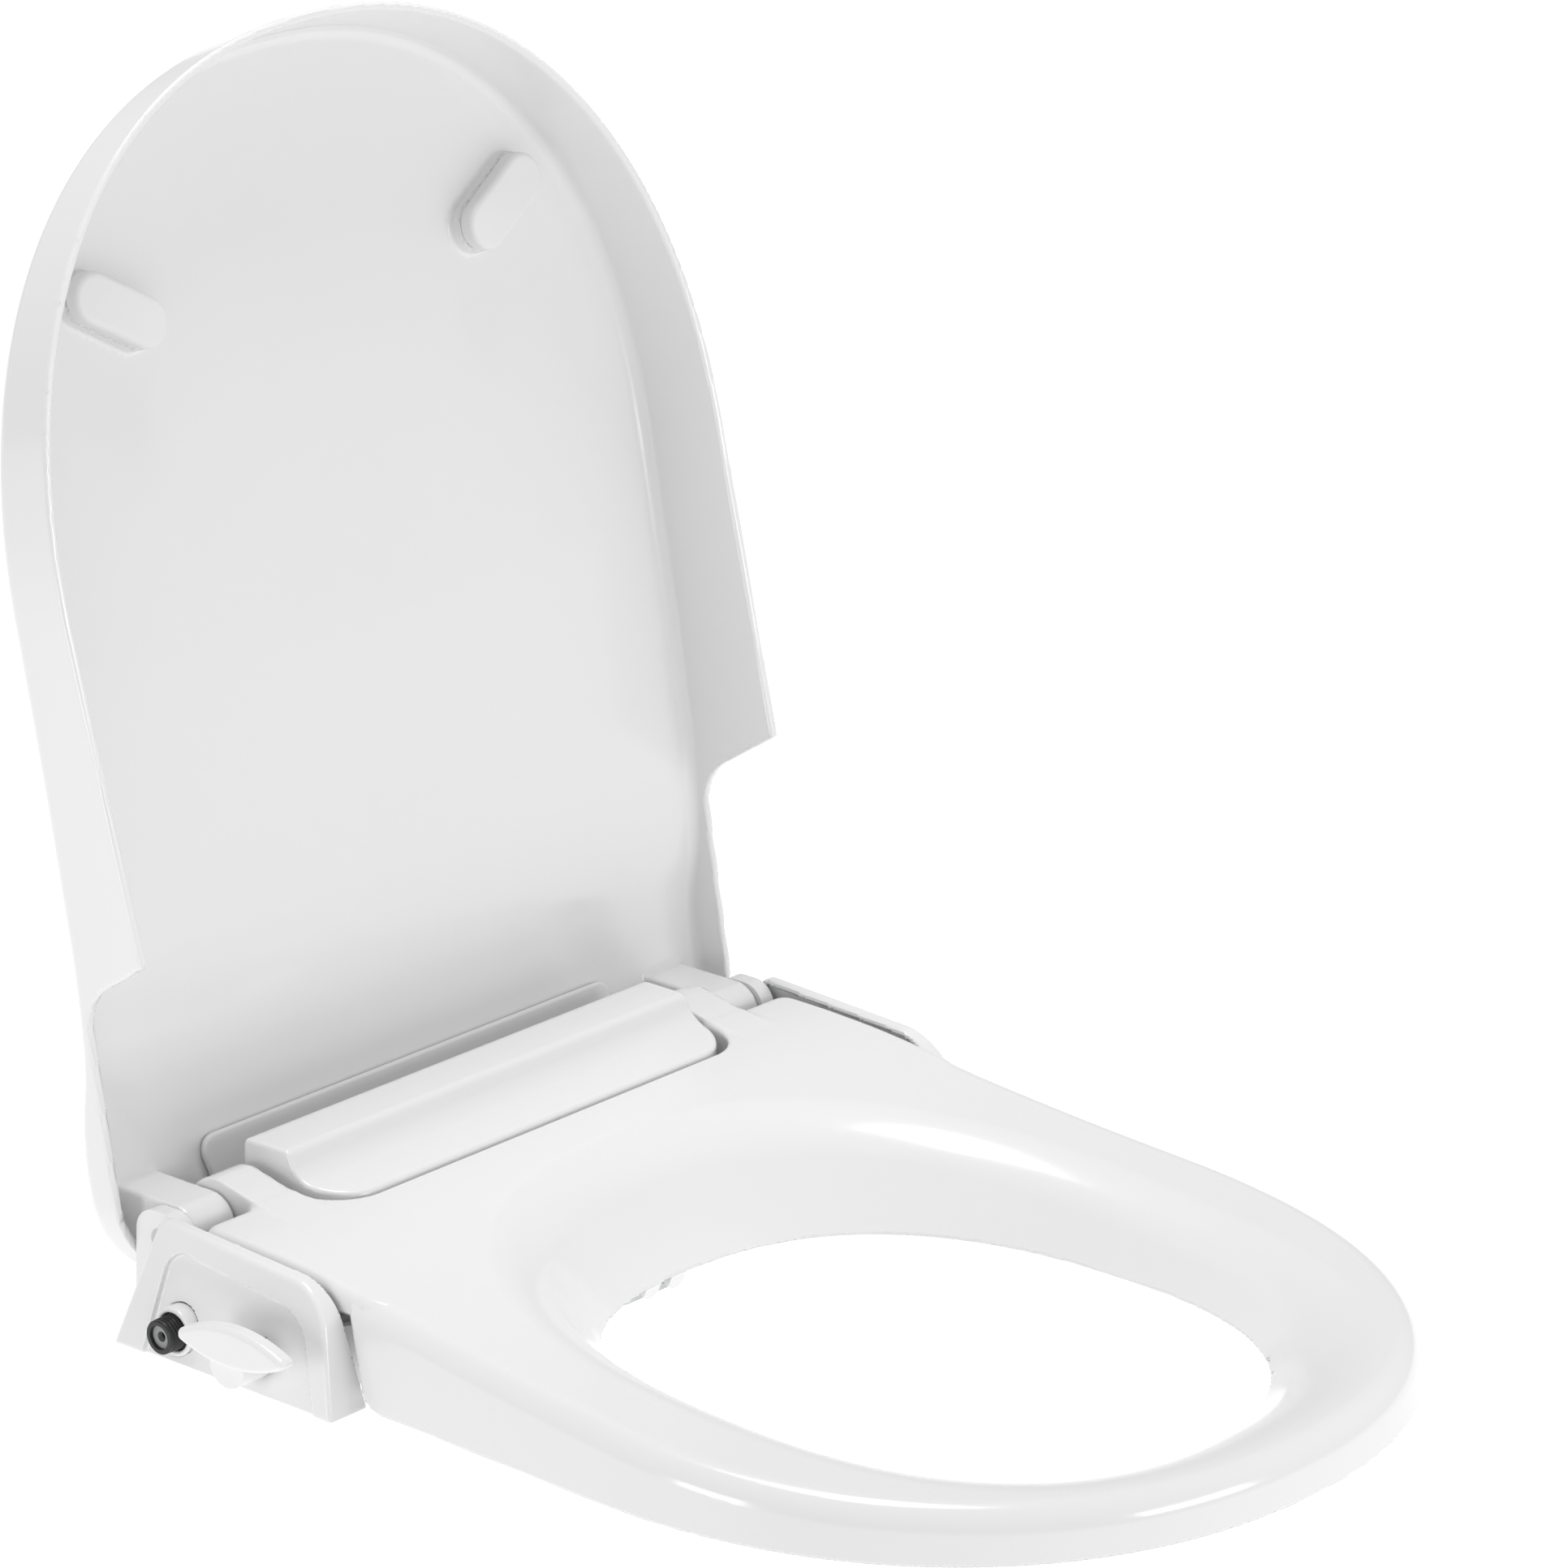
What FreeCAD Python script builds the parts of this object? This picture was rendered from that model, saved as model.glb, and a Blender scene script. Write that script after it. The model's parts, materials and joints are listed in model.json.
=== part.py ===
import FreeCAD, Part
import math
import os

# Lever-operated bidet seat: a fixed base on the bowl rim, a seat ring and a lid on one hinge axis,
# a water valve with its lever on one side, and two nozzles that slide out over the bowl.
# Frame: the origin is midway between the two bowl bolts on the rim plane. +Z is up, the seat's
# front is -Y, and the lever side is -X. Millimetres.

V = FreeCAD.Vector
X = V(1, 0, 0)
Z = V(0, 0, 1)

# --- driving dimensions ------------------------------------------------------------------------
HINGE_Z = 39.0            # height of the common hinge axis, which lies at y = 0
LID_TILT = 13.6           # the open lid leans this many degrees behind upright
WALL = 3.4                # moulded wall
PIN_R = 5.0
PIN_GAP = 0.06            # running clearance, radial

LID_HALF = 181.0
LID_MID = 241.0           # where the sides end and the round front starts, from the hinge
LID_TIP = 441.0
LID_BASE = -19.0
LID_BASE_HALF = 176.5
LID_BASE_CORNER = 35.0
LID_FREE = 33.5           # free edge's distance in front of the hinge axis
LID_FLARE = 0.16          # the skirt's slope outwards, per unit of depth
LID_BASE_FLARE = 0.05     # and its slope at the hinge end
D_POWER = 2.2

SEAT_HALF = 177.0
SEAT_REAR_HALF = 173.5
SEAT_MID = 240.0
SEAT_TIP = 427.0
SEAT_UNDER = 3.4
SEAT_DRAFT = 0.16
DECK_HALF = 166.0
DECK_UNDER = 31.0
KNUCKLE_R = 16.0
KNUCKLE_X = (118.0, 137.6)
LUG_X = (138.4, 160.0)
LUG_R = 12.0
CHEEK_X = (160.5, 167.4)

COVER_HALF = 113.0
LEDGE_FRONT = -43.0
SIDE_IN = 167.8           # inner plane of the side covers
SIDE_FOOT = 187.5         # outer plane at the foot
SIDE_LEAN = 0.30          # how far the outer plane leans inwards, per unit of height
SIDE_Z0 = 3.0
SIDE_BOTTOM = 1.5

VALVE_Y = -68.0
VALVE_Z = 17.0
INLET_Y = -24.0
INLET_Z = 13.8
THREAD_R = 7.0

NOZZLE_X = 7.0
NOZZLE_W = 8.4
NOZZLE_H = 10.0
NOZZLE_LEN = 84.0
NOZZLE_SLOPE = 22.0
NOZZLE_TIP = V(0, -106.0, -3.0)

BOLT_SPACING = 150.0
BOLT_R = 4.0
BOLT_HEAD_R = 8.5
PLATE_TOP = 3.0


# --- helpers -----------------------------------------------------------------------------------
def box(x0, x1, y0, y1, z0, z1):
    return Part.makeBox(x1 - x0, y1 - y0, z1 - z0, V(x0, y0, z0))


def rod(r, start, end):
    return Part.makeCylinder(r, (end - start).Length, start, end - start)


def ring(r_out, r_in, start, end):
    return rod(r_out, start, end).cut(rod(r_in, start, end))


def fuse(shapes):
    return shapes[0].multiFuse(shapes[1:]).removeSplitter() if len(shapes) > 1 else shapes[0]


def mirrored(shape):
    return shape.mirror(V(0, 0, 0), X)


def both(shape):
    return fuse([shape, mirrored(shape)])


def both_apart(shape):
    return Part.makeCompound([shape, mirrored(shape)])


def rounded_wire(corners, place):
    """A closed outline through corners (a, b, radius), each corner rounded by an arc."""
    count = len(corners)
    edges = []
    last = None
    first = None
    for i in range(count):
        a = V(*corners[i - 1][:2], 0)
        p = V(*corners[i][:2], 0)
        b = V(*corners[(i + 1) % count][:2], 0)
        r = corners[i][2]
        to_a = (a - p).normalize()
        to_b = (b - p).normalize()
        half = to_a.getAngle(to_b) / 2
        if r > 0:
            reach = r / math.tan(half)
            start = p + to_a * reach
            end = p + to_b * reach
            middle = p + (to_a + to_b).normalize() * (r / math.sin(half) - r)
        else:
            start = end = p
        if last is not None and (start - last).Length > 1e-6:
            edges.append(Part.makeLine(place(last.x, last.y), place(start.x, start.y)))
        if r > 0:
            points = [place(q.x, q.y) for q in (start, middle, end)]
            edges.append(Part.Arc(*points).toShape())
        first = start if first is None else first
        last = end
    if (first - last).Length > 1e-6:
        edges.append(Part.makeLine(place(last.x, last.y), place(first.x, first.y)))
    return Part.Wire(edges)


def prism_x(corners, x0, x1):
    """A rounded (y, z, radius) outline run along X."""
    face = Part.Face(rounded_wire(corners, lambda a, b: V(x0, a, b)))
    return face.extrude(V(x1 - x0, 0, 0))


def prism_z(corners, z0, z1):
    """A rounded (x, y, radius) outline run along Z."""
    face = Part.Face(rounded_wire(corners, lambda a, b: V(a, b, z0)))
    return face.extrude(V(0, 0, z1 - z0))


def spline(points):
    curve = Part.BSplineCurve()
    curve.interpolate(points)
    return curve.toShape()


def d_wire(half, middle, tip, base, base_half, corner, place, power=D_POWER, steps=20):
    """A D-shaped outline: straight sides, a round front and a base with round corners."""
    arc = []
    for i in range(steps + 1):
        t = math.pi * i / steps
        c = math.cos(t)
        x = half * math.copysign(abs(c) ** (2 / power), c)
        arc.append(place(x, middle + (tip - middle) * math.sin(t) ** (2 / power)))
    bend = corner * (1 - math.sqrt(0.5))
    edges = [spline(arc)]
    for side in (-1, 1):
        a = place(side * half, middle)
        b = place(side * base_half, base + corner)
        m = place(side * (base_half - bend), base + bend)
        c = place(side * (base_half - corner), base)
        edges += [Part.makeLine(a, b), Part.Arc(b, m, c).toShape()]
    left_foot = place(-(base_half - corner), base)
    edges.append(Part.makeLine(left_foot, place(base_half - corner, base)))
    return Part.Wire(Part.sortEdges(edges)[0])


def loft(wires):
    return Part.makeLoft(wires, True, True)


def stadium_z(length, width, z0, z1):
    """A bar with round ends, centred on the origin along X."""
    r = width / 2
    a = length / 2
    return prism_z([(-a, -r, r * 0.999), (a, -r, r * 0.999), (a, r, r * 0.999), (-a, r, r * 0.999)], z0, z1)


# --- lid frame: a is sideways, b runs up the lid from the hinge, c stands out towards the seat ----
TILT = math.radians(LID_TILT)


def to_open(shape):
    """Move a shape from the lid frame (x, b, c) to the open lid's place."""
    out = shape.copy()
    out.rotate(V(0, 0, 0), X, 90 - LID_TILT)
    out.translate(V(0, 0, HINGE_Z))
    return out


def lid_back_curve(depth):
    """The lid's long profile: a nearly flat panel that bends back over the rear cover."""
    stations = [(-20, -28.9), (10, -28.8), (27, -28.5), (46, -25.0), (64, -18.6), (98, -12.2), (140, -8.6),
                (286, -0.9), (455, 5.6)]
    return [V(0, b, c + depth) for b, c in stations]


def lid_profile(depth, top, x_reach):
    """The block between the panel's profile, moved by depth, and a plane in front of it."""
    curve = spline(lid_back_curve(depth))
    first = curve.Vertexes[0].Point
    last = curve.Vertexes[-1].Point
    wire = Part.Wire([curve, Part.makeLine(last, V(0, last.y, top)),
                      Part.makeLine(V(0, last.y, top), V(0, first.y, top)),
                      Part.makeLine(V(0, first.y, top), first)])
    block = Part.Face(wire).extrude(V(2 * x_reach, 0, 0))
    block.translate(V(-x_reach, 0, 0))
    return block


def lid_outline(inset, c):
    grow = LID_FLARE * (c - LID_FREE) - inset
    base_half = LID_BASE_HALF + LID_BASE_FLARE * (c - LID_FREE) - inset
    return d_wire(LID_HALF + grow, LID_MID, LID_TIP + grow, LID_BASE + inset, base_half,
                  LID_BASE_CORNER - inset * 0.5, lambda x, b: V(x, b, c))


def lid_block(inset, low, high):
    return loft([lid_outline(inset, low), lid_outline(inset, high)])


NOTCH_FREE = 110.0        # where the deep skirt ends, at the free edge
NOTCH_FOOT = 95.5         # and at the panel
NOTCH_C = -7.2
FOOT_RIM_C = -24.6        # the rim is lower behind the rear cover, to pass over it
PLATE_HALF = 117.0
PLATE_C = -25.4           # front of the stiffening plate at the lid's foot
BUMPER_AT = V(104.5, 347.5, 0)
BUMPER_TURN = 31.5
BUMPER_LENGTH = 48.5
BUMPER_WIDTH = 21.5
BUMPER_TOP = 13.6


def lid_notch():
    """What is cut away below the deep skirt, leaving only a shallow rim."""
    corners = [(NOTCH_FREE + 1.7, 40, 0), (NOTCH_FREE - 0.3, LID_FREE, 0), (NOTCH_FOOT, NOTCH_C, 12),
               (3, -17.0, 8), (-30, -18.5, 0), (-30, 40, 0)]
    wire = rounded_wire(corners, lambda a, b: V(0, a, b))
    block = Part.Face(wire).extrude(V(500, 0, 0))
    block.translate(V(-250, 0, 0))
    return block


def bumper_bar(grow, low, high):
    bar = stadium_z(BUMPER_LENGTH + grow, BUMPER_WIDTH + grow, low, high)
    bar.rotate(V(0, 0, 0), Z, BUMPER_TURN)
    bar.translate(BUMPER_AT)
    return bar


def lid_lug():
    """A squared arm from the panel to a round end on the hinge axis, in world axes."""
    x0, x1 = LUG_X
    arm = prism_x([(-2, HINGE_Z - LUG_R, 0), (26, HINGE_Z - LUG_R + 2, 0), (29.5, HINGE_Z + LUG_R, 0),
                   (-2, HINGE_Z + LUG_R, 0)], x0, x1)
    eye = rod(LUG_R, V(x0, 0, HINGE_Z), V(x1, 0, HINGE_Z))
    return fuse([arm, eye])


def lid_bore():
    return rod(PIN_R + PIN_GAP, V(LUG_X[0] - 5, 0, HINGE_Z), V(LUG_X[1] + 5, 0, HINGE_Z))


def make_lid():
    outer = lid_block(0, -45, 45).common(lid_profile(-WALL, LID_FREE, 250))
    hollow = lid_block(WALL, -45, 60).common(lid_profile(0, 60, 250))
    shell = outer.cut(lid_notch()).cut(hollow)
    shell = shell.cut(box(-COVER_HALF - 5, COVER_HALF + 5, -30, LID_BASE + WALL + 1, FOOT_RIM_C, 40))
    room = lid_profile(-1, 60, 250)
    boss = bumper_bar(0, -3, BUMPER_TOP - 7).common(room)
    shell = fuse([shell, both_apart(boss)])
    behind = lid_block(-30, -80, 45).cut(lid_profile(-WALL, 60, 250))
    lugs = both(lid_lug().cut(to_open(behind)))
    return fuse([to_open(shell), lugs]).cut(both_apart(lid_bore()))


def make_lid_plate():
    wire = rounded_wire([(-PLATE_HALF, 25, 8), (PLATE_HALF, 25, 8), (PLATE_HALF - 8, -9, 3),
                         (-PLATE_HALF + 8, -9, 3)], lambda a, b: V(a, b, PLATE_C - 2.8))
    return to_open(Part.Face(wire).extrude(V(0, 0, 2.8)))


def make_lid_bumper():
    pad = bumper_bar(-1, BUMPER_TOP - 7, BUMPER_TOP)
    rim = [e for e in pad.Edges if abs(e.CenterOfMass.z - BUMPER_TOP) < 0.01]
    return to_open(pad.makeFillet(2.2, rim))


# --- seat ----------------------------------------------------------------------------------------
SEAT_TOP = [(40, 49.4), (-16, 49.2), (-48, 48.8), (-75, 47.4), (-105, 44.2), (-140, 40.0), (-180, 35.8),
            (-225, 32.0), (-270, 28.6), (-330, 25.6), (-395, 23.8), (-450, 22.8)]
BOWL_LOW = 4.0
BOWL_HIGH = 46.0
BOWL_POWER = 2.4
RING_END = 98.0           # the ring's rear end, forward of the hinge, tucked between the side covers
RING_END_CORNER = 30.0
NOTCH_Y = -19.0
CUT_HALF = 117.0
CUT_FRONT = -45.4


def seat_place(z):
    return lambda x, b: V(x, -b, z)


def seat_outline(inset, z):
    shrink = SEAT_DRAFT * (z - SEAT_UNDER) + inset
    return d_wire(SEAT_HALF - shrink, SEAT_MID, SEAT_TIP - shrink, RING_END + inset, SEAT_REAR_HALF - shrink,
                  RING_END_CORNER - inset, seat_place(z), 2.15)


def oval(half, rear, middle, front, z):
    """The opening's outline: two half ovals that meet at the widest place."""
    halves = []
    for end, sign in ((rear, 1), (front, -1)):
        points = []
        for i in range(17):
            t = math.pi * i / 16
            c = math.cos(t) * sign
            x = half * math.copysign(abs(c) ** (2 / BOWL_POWER), c)
            points.append(V(x, middle + (end - middle) * math.sin(t) ** (2 / BOWL_POWER), z))
        halves.append(spline(points))
    return Part.Wire(halves)


def bowl_block(grow):
    """The dished opening: a cone that widens from the lower edge to above the seat."""
    slope = grow * 1.35
    below = oval(107 + slope, -115 + slope, -248, -370 - slope, BOWL_LOW)
    above = oval(139 + slope, -85 + slope, -262, -426 - slope, BOWL_HIGH)
    throat = oval(107 + slope, -115 + slope, -248, -370 - slope, -20)
    return fuse([loft([below, above]), loft([throat, below])])


def seat_top_block(drop, x_reach):
    curve = spline([V(0, y, z - drop) for y, z in SEAT_TOP])
    a = curve.Vertexes[0].Point
    b = curve.Vertexes[-1].Point
    wire = Part.Wire([curve, Part.makeLine(b, V(0, b.y, -10)), Part.makeLine(V(0, b.y, -10), V(0, a.y, -10)),
                      Part.makeLine(V(0, a.y, -10), a)])
    block = Part.Face(wire).extrude(V(2 * x_reach, 0, 0))
    block.translate(V(-x_reach, 0, 0))
    return block


def deck_corners(inset):
    """The rear deck's plan: it widens to the ring and ends at the hinge notches."""
    x_out = DECK_HALF - inset
    back = NOTCH_Y - inset
    wide = x_out + 2.5
    half = [(wide, -145, 0), (wide, -122, 20), (x_out, -99, 20), (x_out, back, 8)]
    return half + [(-x, y, r) for x, y, r in reversed(half)]


def seat_arm():
    x0, x1 = KNUCKLE_X
    top = HINGE_Z + 9.9
    arm = prism_x([(-50, top - 0.4, 0), (-2.3, HINGE_Z + 15.83, 0), (0, HINGE_Z, 0), (-2.3, HINGE_Z - 15.83, 0),
                   (-50, DECK_UNDER, 0)], x0, x1)
    eye = rod(KNUCKLE_R, V(x0, 0, HINGE_Z), V(x1, 0, HINGE_Z))
    return fuse([arm, eye])


def make_seat_top():
    under = loft([seat_outline(0, SEAT_UNDER), seat_outline(0, 60)])
    ring_blank = under.common(seat_top_block(0, 200))
    rim = [e for e in ring_blank.Edges if e.BoundBox.ZMin > 22 and e.BoundBox.YMax < -100
           and e.BoundBox.YLength > 100]
    ring_blank = ring_blank.makeFillet(9.0, rim)
    deck = prism_z(deck_corners(0), DECK_UNDER, 60).common(seat_top_block(0, 200))
    sides = [e for e in deck.Edges if e.BoundBox.ZMin > 36 and e.BoundBox.XLength < 12
             and e.BoundBox.YLength > 8 and abs(e.CenterOfMass.x) > 150 and e.CenterOfMass.y < -28]
    deck = deck.makeFillet(5.0, sides)
    blank = fuse([ring_blank, deck])
    hollow = loft([seat_outline(WALL, SEAT_UNDER - 5), seat_outline(WALL, 60)])
    deck_hollow = prism_z(deck_corners(WALL), DECK_UNDER - 5, 60)
    hollow = fuse([hollow, deck_hollow]).common(seat_top_block(WALL, 200)).cut(bowl_block(WALL))
    seat = blank.cut(hollow)
    rim_wall = prism_z([(-CUT_HALF - WALL, CUT_FRONT - WALL, 25), (CUT_HALF + WALL, CUT_FRONT - WALL, 25),
                        (CUT_HALF + WALL, 10, 0), (-CUT_HALF - WALL, 10, 0)], DECK_UNDER, 60)
    rim_wall = rim_wall.common(deck)
    slope_wall = box(-125, 125, -105, -88, 20, DECK_UNDER + 4).common(bowl_block(WALL))
    seat = fuse([seat, rim_wall, slope_wall, both(seat_arm())])
    cut_out = prism_z([(-CUT_HALF, CUT_FRONT, 22), (CUT_HALF, CUT_FRONT, 22), (CUT_HALF, 40, 0),
                       (-CUT_HALF, 40, 0)], -20, 80)
    bores = both_apart(rod(PIN_R + PIN_GAP, V(KNUCKLE_X[0] - 5, 0, HINGE_Z), V(KNUCKLE_X[1] + 5, 0, HINGE_Z)))
    nozzle_gate = box(-20, 20, -RING_END - WALL - 2, -RING_END + 2, SEAT_UNDER - 5, 14)
    return seat.cut(cut_out).cut(bowl_block(0)).cut(bores).cut(nozzle_gate)


def make_seat_underside():
    """The flat closing plate under the ring."""
    z0 = SEAT_UNDER + 1.5
    plate = loft([seat_outline(WALL + 0.1, z0), seat_outline(WALL + 0.1, z0 + 2.5)])
    front = box(-200, 200, -450, -132, -10, 40)
    plate = plate.common(front).cut(bowl_block(WALL + 0.2))
    for x, y in BUMPER_PLACES.values():
        plate = plate.cut(rod(3.0, V(x, y, z0 - 1), V(x, y, z0 + 5)))
    return plate


def make_seat_bumper(x, y):
    """A soft foot pressed into the closing plate, standing on the rim."""
    stem = rod(3.0, V(x, y, SEAT_UNDER + 1.5), V(x, y, SEAT_UNDER + 7))
    pad = rod(8.0, V(x, y, 0.2), V(x, y, SEAT_UNDER + 1.5))
    rim = [e for e in pad.Edges if abs(e.BoundBox.ZMax - 0.2) < 0.01]
    return fuse([pad.makeFillet(1.2, rim), stem])


BUMPER_PLACES = {"seat_bumper_front_left": (-98, -354), "seat_bumper_front_right": (98, -354),
                 "seat_bumper_rear_left": (-142, -200), "seat_bumper_rear_right": (142, -200)}


# --- fixed base ----------------------------------------------------------------------------------
TRAY_HALF = 165.0
TRAY_FRONT = -94.0
TRAY_BACK = 24.0
TRAY_TOP = 27.5
TRAY_Z0 = 3.0


def nozzle_axis():
    s = math.radians(NOZZLE_SLOPE)
    return V(0, math.cos(s), math.sin(s))


def along_nozzle(shape, offset_x, start):
    """Place a shape built along +Y, with its front at the origin, on a nozzle's slope."""
    out = shape.copy()
    out.rotate(V(0, 0, 0), X, NOZZLE_SLOPE)
    out.translate(NOZZLE_TIP + V(offset_x, 0, 0) + nozzle_axis() * start)
    return out


def nozzle_bar(grow, length):
    """A bar with a flat top and a half-round belly."""
    half = NOZZLE_W / 2 + grow
    top = NOZZLE_H / 2 + grow
    belly = half * 0.995
    corners = [(-half, -top, belly), (half, -top, belly), (half, top, 1.0), (-half, top, 1.0)]
    wire = rounded_wire(corners, lambda a, b: V(a, 0, b))
    return Part.Face(wire).extrude(V(0, length, 0))


HOUSING_START = 4.0
HOUSING_LEN = 88.0


def make_nozzle_housing():
    shell = prism_z([(-16.2, 0, 2), (16.2, 0, 2), (16.2, HOUSING_LEN, 2), (-16.2, HOUSING_LEN, 2)], -8.2, 8.2)
    shell = along_nozzle(shell, 0, HOUSING_START)
    for side in (-1, 1):
        shell = shell.cut(along_nozzle(nozzle_bar(0.35, 200), side * NOZZLE_X, -20))
    back = along_nozzle(box(-16.2, 16.2, HOUSING_LEN, HOUSING_LEN + 2.5, -8.2, 8.2), 0, HOUSING_START)
    for side in (-1, 1):
        port = along_nozzle(rod(2.6, V(0, HOUSING_LEN - 5, 0), V(0, HOUSING_LEN + 5, 0)),
                            side * NOZZLE_X, HOUSING_START)
        back = back.cut(port)
    return fuse([shell, back])


def make_nozzle(side):
    bar = along_nozzle(nozzle_bar(0, NOZZLE_LEN), side * NOZZLE_X, 0)
    bore = along_nozzle(rod(2.2, V(0, 6, 0), V(0, NOZZLE_LEN + 1, 0)), side * NOZZLE_X, 0)
    jet = along_nozzle(rod(0.7, V(0, 8, 0), V(0, 8, 8)), side * NOZZLE_X, 0)
    return bar.cut(bore).cut(jet)


def tray_blank(inset, z0, z1):
    """The base tray's plan, with a bay at the front for the nozzle housing."""
    x = TRAY_HALF - inset
    return prism_z([(-x, TRAY_FRONT + inset, 10), (x, TRAY_FRONT + inset, 10), (x, TRAY_BACK - inset, 12),
                    (-x, TRAY_BACK - inset, 12)], z0, z1)


def lid_sweep():
    """The room the lid's foot needs behind the hinge."""
    return rod(38.6, V(-200, 0, HINGE_Z), V(200, 0, HINGE_Z)).common(box(-200, 200, 0, 60, TRAY_Z0 + 8, 90))


def cheek():
    """An ear of the base that carries the outer end of a hinge pin."""
    x0, x1 = CHEEK_X
    ear = prism_x([(-15, TRAY_Z0 + 2, 0), (15, TRAY_Z0 + 2, 0), (12.5, HINGE_Z + 11.5, 10),
                   (-12.5, HINGE_Z + 11.5, 10)], x0, x1)
    return ear


INNER_BOSS = (96.0, 109.0)
SCREW_PLACES = [(-88, -36), (88, -36), (-56, 6), (56, 6)]


def inner_boss():
    x0, x1 = INNER_BOSS
    return prism_x([(-13, TRAY_Z0 + 2, 0), (10, TRAY_Z0 + 2, 0), (8, HINGE_Z + 9, 8), (-9, HINGE_Z + 9, 8)], x0, x1)


def make_base_housing():
    skin = tray_blank(0, TRAY_Z0, TRAY_TOP).cut(tray_blank(2.6, TRAY_Z0 + 2.6, TRAY_TOP + 1))
    floor_slope = along_nozzle(box(-17, 17, -40, 140, -9, 30), 0, HOUSING_START)
    posts = [rod(4.5, V(x, y, TRAY_Z0), V(x, y, 26)) for x, y in SCREW_PLACES]
    ribs = [box(x - 1.2, x + 1.2, TRAY_FRONT + 1, 12, TRAY_Z0, 13) for x in (-120, -40, 40, 120)]
    eyes = [rod(KNUCKLE_R + 0.8, V(s * (KNUCKLE_X[0] - 1.5), 0, HINGE_Z), V(s * CHEEK_X[0], 0, HINGE_Z))
            for s in (-1, 1)]
    body = fuse([skin] + posts + ribs)
    body = body.cut(lid_sweep())
    for eye in eyes:
        body = body.cut(eye)
    body = fuse([body, both(cheek()), both(inner_boss())])
    body = body.cut(floor_slope)
    pins = both_apart(rod(PIN_R, V(INNER_BOSS[0] - 1, 0, HINGE_Z), V(CHEEK_X[1] + 1, 0, HINGE_Z)))
    dampers = both_apart(rod(7.5, V(60, 0, HINGE_Z), V(INNER_BOSS[0] + 6, 0, HINGE_Z)))
    bolts = both_apart(rod(BOLT_HEAD_R + 0.7, V(BOLT_SPACING / 2, 0, -5), V(BOLT_SPACING / 2, 0, TRAY_Z0 + 5)))
    screws = Part.makeCompound([rod(1.4, V(x, y, -1), V(x, y, 22)) for x, y in SCREW_PLACES])
    screw_heads = Part.makeCompound([rod(3.05, V(x, y, 0), V(x, y, 4.6)) for x, y in SCREW_PLACES])
    valve_bay = box(-170, -140, -88, -12, TRAY_Z0 + 2, 40)
    for tool in (pins, dampers, bolts, screws, screw_heads, valve_bay):
        body = body.cut(tool)
    return body


def cover_profile(inset, low):
    """The rear cover's side outline: a raised top, a steep front and a ledge level with the seat."""
    i = inset
    return [(11.5 - i, low, 0), (11.5 - i, 62.6 - i, 6), (-14.2 + i * 0.4, 62.3 - i, 1.6),
            (-19.5 + i * 0.6, 52.0 - i, 5), (LEDGE_FRONT + i, 48.9 - i, 3), (LEDGE_FRONT + i, low, 0)]


def make_rear_cover():
    outer = prism_x(cover_profile(0, TRAY_TOP), -COVER_HALF, COVER_HALF)
    plan = prism_z([(-COVER_HALF, LEDGE_FRONT, 22), (COVER_HALF, LEDGE_FRONT, 22), (COVER_HALF, 11.5, 4),
                    (-COVER_HALF, 11.5, 4)], 20, 70)
    inner = prism_x(cover_profile(2.6, TRAY_TOP - 5), -COVER_HALF + 2.6, COVER_HALF - 2.6)
    inner_plan = prism_z([(-COVER_HALF + 2.6, LEDGE_FRONT + 2.6, 19), (COVER_HALF - 2.6, LEDGE_FRONT + 2.6, 19),
                          (COVER_HALF - 2.6, 8.9, 2), (-COVER_HALF + 2.6, 8.9, 2)], 20, 70)
    cover = outer.common(plan).cut(inner.common(inner_plan))
    posts = [ring(4.5, 1.4, V(x, y, 26), V(x, y, 46.6 if y < 0 else 60.5)) for x, y in SCREW_PLACES]
    cover = fuse([cover] + posts)
    cover = cover.cut(box(-17.5, 17.5, -50, -30, 20, 34))
    gate = box(-200, 200, -5.6, 5.6, 10, HINGE_Z)
    hole = rod(5.6, V(-200, 0, HINGE_Z), V(200, 0, HINGE_Z))
    keep = box(-105, 105, -50, 20, 0, 80)
    return cover.cut(fuse([gate, hole]).cut(keep))


def side_profile(inset):
    i = inset
    return [(6.5 - i, SIDE_BOTTOM + i * 0.3, 0), (-110 + i, SIDE_BOTTOM + i * 0.3, 2),
            (-93.5 + i * 1.2, 46.5 - i, 13 - i), (-6 - i, 51.5 - i, 4 - i * 0.5)]


def lean_block(inset):
    """Everything inside the outer plane, which leans inwards."""
    top = 70.0
    foot = SIDE_FOOT - inset
    corners = [(-140, SIDE_Z0 - 20), (-foot - 20 * SIDE_LEAN, SIDE_Z0 - 20),
               (-foot + (top - SIDE_Z0) * SIDE_LEAN, top), (-140, top)]
    points = [V(x, -150, z) for x, z in corners]
    face = Part.Face(Part.makePolygon(points + points[:1]))
    return face.extrude(V(0, 200, 0))


def side_cover():
    outer = prism_x(side_profile(0), -SIDE_FOOT - 10, -SIDE_IN).common(lean_block(0))
    panel = prism_x([(-9, SIDE_Z0 - 2, 0), (-101, SIDE_Z0 - 2, 0), (-86, 35.5, 9), (-14, 42.5, 9)],
                    -SIDE_FOOT - 20, -SIDE_IN + 20)
    panel = panel.cut(lean_block(2.2))
    inner = prism_x(side_profile(2.6), -SIDE_FOOT - 20, -SIDE_IN + 1).common(lean_block(4.9))
    inner = inner.common(box(-SIDE_FOOT, -SIDE_IN + 0.5, -120, 10, SIDE_Z0 + 2.6, 60))
    return outer.cut(panel).cut(inner)


def make_right_side_cover():
    return mirrored(side_cover())


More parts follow.
